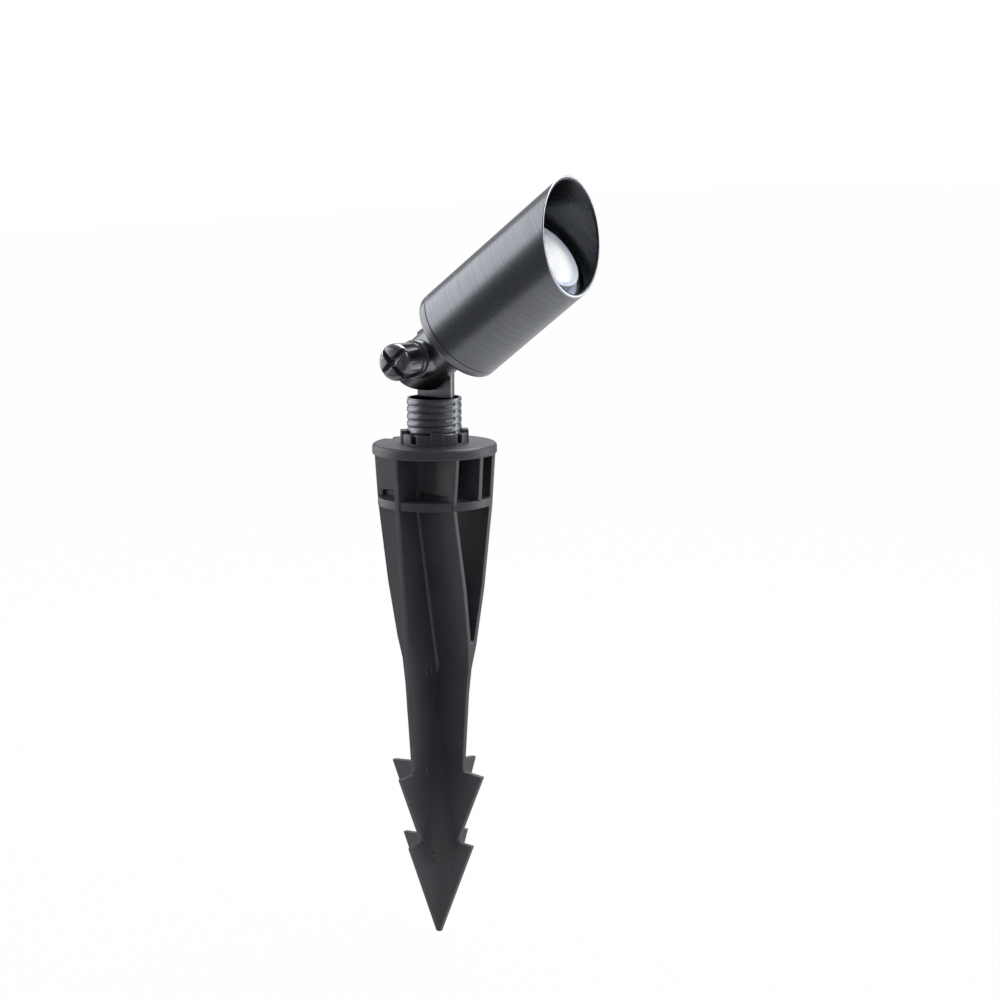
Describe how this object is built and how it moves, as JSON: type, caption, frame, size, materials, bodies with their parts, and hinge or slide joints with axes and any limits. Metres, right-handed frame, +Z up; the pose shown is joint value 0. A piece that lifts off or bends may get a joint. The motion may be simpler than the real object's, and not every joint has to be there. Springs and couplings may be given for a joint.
{
  "type": "garden spike spotlight",
  "caption": "Outdoor spotlight: slant-mouthed tube head on a tilting half-lap knuckle with a thumbscrew, on a barbed plastic ground spike.",
  "frame": {"origin": "on the spike's axis, at the top face of its disc, which is ground level when the spike is in", "axes": "+Z up along the spike; +X the way the head aims, seen from above; the thumbscrew points to -Y"},
  "size_m": [0.0886, 0.0508, 0.2974],
  "materials": {
    "spike_plastic": "satin black moulded plastic",
    "dark_bronze": "dark bronze, semi-gloss",
    "brushed_bronze": "dark bronze, brushed round the tube",
    "steel": "plain",
    "black_rubber": "matt",
    "clear_glass": "clear",
    "lamp_white": "white coated",
    "lamp_plastic": "white",
    "lamp_grey": "grey",
    "lamp_diffuser": "milky",
    "ceramic": "unglazed",
    "contact_brass": "plain"
  },
  "bodies": {
    "spike": {"ground_spike": "spike_plastic"},
    "stem": {"swivel_stem": "dark_bronze", "stem_cable_seal": "black_rubber"},
    "head": {"rear_cap": "dark_bronze", "knuckle_o_ring": "black_rubber", "cap_o_ring": "black_rubber", "cap_cable_seal": "black_rubber", "lamp_holder": "ceramic", "holder_contacts": "contact_brass", "holder_bracket": "steel", "holder_screws": "steel", "lamp_body": "lamp_white", "lamp_base": "lamp_plastic", "lamp_pins": "steel", "lamp_glare_ring": "lamp_grey", "lamp_dome": "lamp_diffuser"},
    "knob": {"thumbscrew": "dark_bronze", "flat_washer": "steel", "spring_washer": "steel"},
    "tube": {"barrel": "brushed_bronze", "lens_ring": "brushed_bronze", "lens": "clear_glass", "lens_gasket": "black_rubber"}
  },
  "joints": [
    {"name": "stem_pan", "type": "hinge", "parent": "spike", "child": "stem", "pos_m": [0, 0, 0], "axis": [0, 0, 1], "range_deg": [-180, 180]},
    {"name": "head_tilt", "type": "hinge", "parent": "stem", "child": "head", "pos_m": [0, 0, 0.03286], "axis": [0, -1, 0], "range_deg": [-44, 149]},
    {"name": "thumbscrew_turn", "type": "hinge", "parent": "stem", "child": "knob", "pos_m": [0, 0, 0.03286], "axis": [0, -1, 0], "continuous": true},
    {"name": "barrel_off", "type": "slide", "parent": "head", "child": "tube", "axis": [0.798, 0, 0.6027], "range_m": [0, 0.075]}
  ]
}
